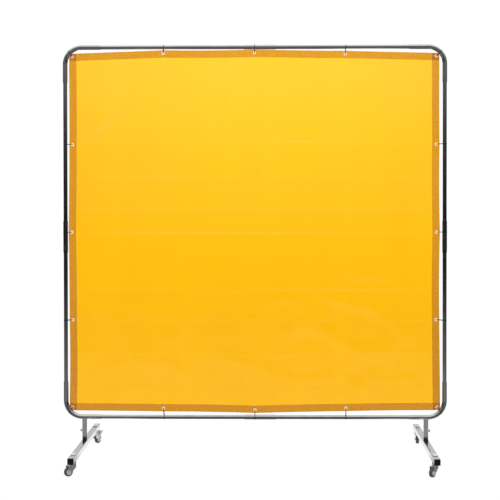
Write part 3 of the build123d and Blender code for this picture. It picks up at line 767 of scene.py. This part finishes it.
def build_ties():
    draw = random.Random(42)
    points, faces = [], []

    def add(part, place):
        start = len(points)
        points.extend(place @ p for p in part[0])
        faces.extend(tuple(v + start for v in f) for f in part[1])

    for i, j, x, z, tube, radius in EYELETS:
        centre, _ = eyelet_frame(i, j, x, z)
        eye = Vector((centre.x, 0, centre.z))
        reach = tube - eye
        along = reach.normalized()
        sway = draw.uniform(-5, 5)
        axis = along.cross(Vector((0, 1, 0)))
        place = Matrix.Translation(eye) @ Matrix((along, Vector((0, 1, 0)), axis)).transposed().to_4x4()
        distance = reach.length
        loop = resample(loop_line(distance, radius + 0.3 * MM, 2.0 * MM, STRAP_TURN), 1.1 * MM)
        corner = abs(i) == 1 and abs(j) == 1
        lift = Matrix.Translation((0, centre.y * 0.35, 0)) if corner else Matrix.Identity(4)
        swing = Matrix.Rotation(math.radians(sway), 4, "Y")
        place = place @ lift
        add(strap(loop, True, True), place)
        out = radius + 0.3 * MM + STRAP_T
        head_at = Vector((distance - 1.0 * MM, out + 1.2 * MM, 0))
        add(tie_head(), place @ Matrix.Translation(head_at))
        length = draw.uniform(4, 7) * MM
        tail = [(0, 0), (length * 0.4, 0.2 * MM), (length * 0.75, -0.3 * MM), (length, -1.4 * MM)]
        tail = resample(tail, 1.0 * MM, closed=False)
        root = Vector((distance + 1.6 * MM, out + 1.8 * MM, 0))
        turn = math.radians(draw.choice((-1, 1)) * draw.uniform(55, 80))
        add(strap(tail, False, True, taper=0.5, twist=turn), place @ Matrix.Translation(root) @ swing)
    made = mesh_object("curtain_cable_ties", points, faces, "tie")
    outward(made)
    sharp(made, 38)
    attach(made, "root")
    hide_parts("cable_ties")


# ---------------------------------------------------------------- stage, light and camera
PLAIN_WHITE = 1.03  # the backdrop and floor as seen directly
FLOOR_WHITE = 1.22  # the floor as seen through the film
ROOM = 1.12  # the room's light on matt surfaces
BRIGHTEST = 4.0  # the world's ramps hold shares of this


def build_stage():
    mesh = bpy.data.meshes.new("floor")
    wide, near, far = 6.0, -0.9, 5.0
    mesh.from_pydata([(-wide, near, 0), (wide, near, 0), (wide, far, 0), (-wide, far, 0)], [], [(0, 1, 2, 3)])
    floor = bpy.data.objects.new("floor", mesh)
    floor.location.z = -0.2 * MM
    bpy.context.scene.collection.objects.link(floor)
    s = Shader("pale_floor")
    # The floor only glows; its contact shadows are painted, darkened by ambient occlusion where things stand
    # close.
    open_air = s.node("AmbientOcclusion", {"Distance": 0.09}, samples=8).outputs["AO"]
    passed = s.math("GREATER_THAN", s.node("LightPath").outputs["Transparent Depth"], 0.5)
    glow_with_painted_shadow = s.span(passed, s.span(open_air, 0.88 * PLAIN_WHITE, PLAIN_WHITE, 0.25, 0.85),
                   s.span(open_air, 0.70 * FLOOR_WHITE, FLOOR_WHITE, 0.25, 0.85))
    seen = s.node("Emission", {"Color": (1, 1, 1, 1), "Strength": glow_with_painted_shadow}).outputs[0]
    split = s.node("SeparateXYZ", {0: s.place})
    card = s.node("MapRange", {0: split.outputs["Y"], "From Min": -0.15, "From Max": 0.10}).outputs[0]
    across = s.math("ABSOLUTE", split.outputs["X"])
    card = s.math("MULTIPLY", card, s.span(across, 0.0, 1.0, 0.52, 0.66))
    card = s.math("MULTIPLY", card, s.span(across, 1.0, 0.0, 0.92, 1.10))
    path = s.node("LightPath").outputs
    light = s.span(path["Is Glossy Ray"], 0.6 * ROOM, s.span(card, 0.15, 1.0))
    light = s.node("Emission", {"Color": (1, 1, 1, 1), "Strength": light}).outputs[0]
    camera_ray = path["Is Camera Ray"]
    mesh.materials.append(s.finish(s.node("MixShader", {0: camera_ray, 1: light, 2: seen}).outputs[0]))


def build_world():
    """The world, which looks different to each kind of ray.

    The camera sees white, and brighter than white through the film. Matt surfaces see an even white
    room. Mirror surfaces see a studio that is dark at the horizon and bright overhead."""
    world = bpy.data.worlds.new("studio")
    bpy.context.scene.world = world
    world.use_nodes = True
    tree = world.node_tree
    tree.nodes.clear()

    def node(kind, values=None, **settings):
        made = tree.nodes.new("ShaderNode" + kind)
        for key, value in settings.items():
            setattr(made, key, value)
        for key, value in (values or {}).items():
            if isinstance(value, bpy.types.NodeSocket):
                tree.links.new(value, made.inputs[key])
            else:
                made.inputs[key].default_value = value
        return made

    def level(brightness):
        """Brightness against the sine of the elevation, as (sine, brightness) stops."""
        made = node("ValToRGB", {0: height})
        elements = made.color_ramp.elements
        while len(elements) < len(brightness):
            elements.new(0.5)
        for element, (sine, value) in zip(elements, brightness):
            element.position = (sine + 1) / 2
            element.color = (value / BRIGHTEST, value / BRIGHTEST, value / BRIGHTEST, 1)
        return made.outputs[0]

    def lit(colour, strength):
        return node("Background", {"Color": colour, "Strength": strength}).outputs[0]

    split = node("SeparateXYZ", {0: node("TexCoord").outputs["Generated"]})
    height = node("Math", {0: split.outputs["Z"], 1: 0.5, 2: 0.5}, operation="MULTIPLY_ADD").outputs[0]
    front = level([(-1.0, 0.14), (-0.50, 0.16), (-0.233, 0.30), (-0.183, 0.15), (-0.133, 0.055),
                   (-0.078, 0.015), (-0.028, 0.012), (0.007, 0.025), (0.064, 0.05), (0.122, 0.16),
                   (0.157, 0.20), (0.42, 0.22), (0.57, 0.60), (0.77, 0.95), (0.91, 1.15), (1.0, 1.2)])
    behind = level([(-1.0, 0.30), (-0.30, 0.25), (-0.10, 0.10), (0.10, 0.12), (0.17, 0.55),
                    (0.22, 0.62), (0.50, 0.85), (1.0, 1.2)])
    side = node("MapRange", {0: split.outputs["Y"], "From Min": 0.72, "From Max": 0.97},
                interpolation_type="SMOOTHSTEP")
    room = node("Mix", {0: side.outputs[0], 6: front, 7: behind}, data_type="RGBA")
    seen = level([(-0.22, 1.21), (-0.113, 1.25), (-0.038, 1.35), (0.017, 1.44), (0.053, 1.52), (0.107, 1.60),
                  (0.157, 1.64), (0.30, 1.64)])
    sideways = node("Math", {0: split.outputs["X"], 1: split.outputs["X"]}, operation="MULTIPLY").outputs[0]
    high = node("MapRange", {
        0: split.outputs["Z"], "From Min": -0.10, "From Max": 0.05, "To Max": 2.4 * BRIGHTEST,
    }).outputs[0]
    dimmer = node("Math", {0: sideways, 1: high}, operation="MULTIPLY").outputs[0]
    edge_light = node("Math", {0: BRIGHTEST, 1: dimmer}, operation="SUBTRACT").outputs[0]
    edge_light = node("Math", {0: edge_light, 1: 0.90 * BRIGHTEST}, operation="MAXIMUM").outputs[0]
    path = node("LightPath").outputs
    passed = node("Math", {0: path["Transparent Depth"], 1: 0.5}, operation="GREATER_THAN").outputs[0]
    white = (1, 1, 1, 1)
    backdrop = node("MixShader", {0: passed, 1: lit(white, PLAIN_WHITE), 2: lit(seen, edge_light)})
    cards = node("MixShader", {
        0: path["Is Glossy Ray"], 1: lit(white, ROOM), 2: lit(room.outputs[2], BRIGHTEST),
    })
    both = node("MixShader", {0: path["Is Camera Ray"], 1: cards.outputs[0], 2: backdrop.outputs[0]})
    node("OutputWorld", {0: both.outputs[0]})


def soft_light(name, place, aim, size, watts):
    data = bpy.data.lights.new(name, "AREA")
    data.shape = "RECTANGLE"
    data.size, data.size_y = size
    data.energy = watts
    made = bpy.data.objects.new(name, data)
    made.location = place
    made.rotation_mode = "QUATERNION"
    made.rotation_quaternion = (Vector(aim) - Vector(place)).to_track_quat("-Z", "Y")
    bpy.context.scene.collection.objects.link(made)
    made.visible_camera = False
    made.visible_glossy = False


CAMERA_AT = (0.0929, -4.1958, 1.2701)
CAMERA_TURN, CAMERA_TILT, CAMERA_ROLL = 0.592, -0.586, 0.056  # degrees
SENSOR, FOCAL_LENGTH = 36.0, 63.4104  # millimetres, as Blender's camera takes them
SHIFT = (-0.0302, -0.0956)  # shares of the sensor's width


def build_camera():
    """Stands in front at chest height, a little right of the middle, turned slightly left."""
    data = bpy.data.cameras.new("camera")
    data.sensor_width = SENSOR
    data.lens = FOCAL_LENGTH
    data.shift_x, data.shift_y = SHIFT
    data.clip_start, data.clip_end = 0.05, 60
    made = bpy.data.objects.new("camera", data)
    turn = Matrix.Identity(3)
    for degrees, axis in ((CAMERA_TURN, "Z"), (CAMERA_TILT, "X"), (CAMERA_ROLL, "Y")):
        turn = turn @ Matrix.Rotation(math.radians(degrees), 3, axis)
    right, ahead, up = (turn @ Vector(v) for v in ((1, 0, 0), (0, 1, 0), (0, 0, 1)))
    axes = Matrix((right, up, -ahead)).transposed().to_4x4()
    made.matrix_world = Matrix.Translation(CAMERA_AT) @ axes
    bpy.context.scene.collection.objects.link(made)
    bpy.context.scene.camera = made


build_camera()
build_curtain()
build_eyelets()
build_ties()
build_stage()
build_world()
soft_light("overhead", (0.0, 0.5, 3.6), (0, 0, 1.2), (3.6, 1.6), 20)
soft_light("back_top", (0.0, 1.2, 2.9), (0, 0, 1.7), (2.6, 0.7), 25)
soft_light("front_fill", (-1.6, -4.2, 3.4), (0, 0, 1.0), (1.8, 1.2), 15)
bpy.context.scene.view_settings.view_transform = "Standard"
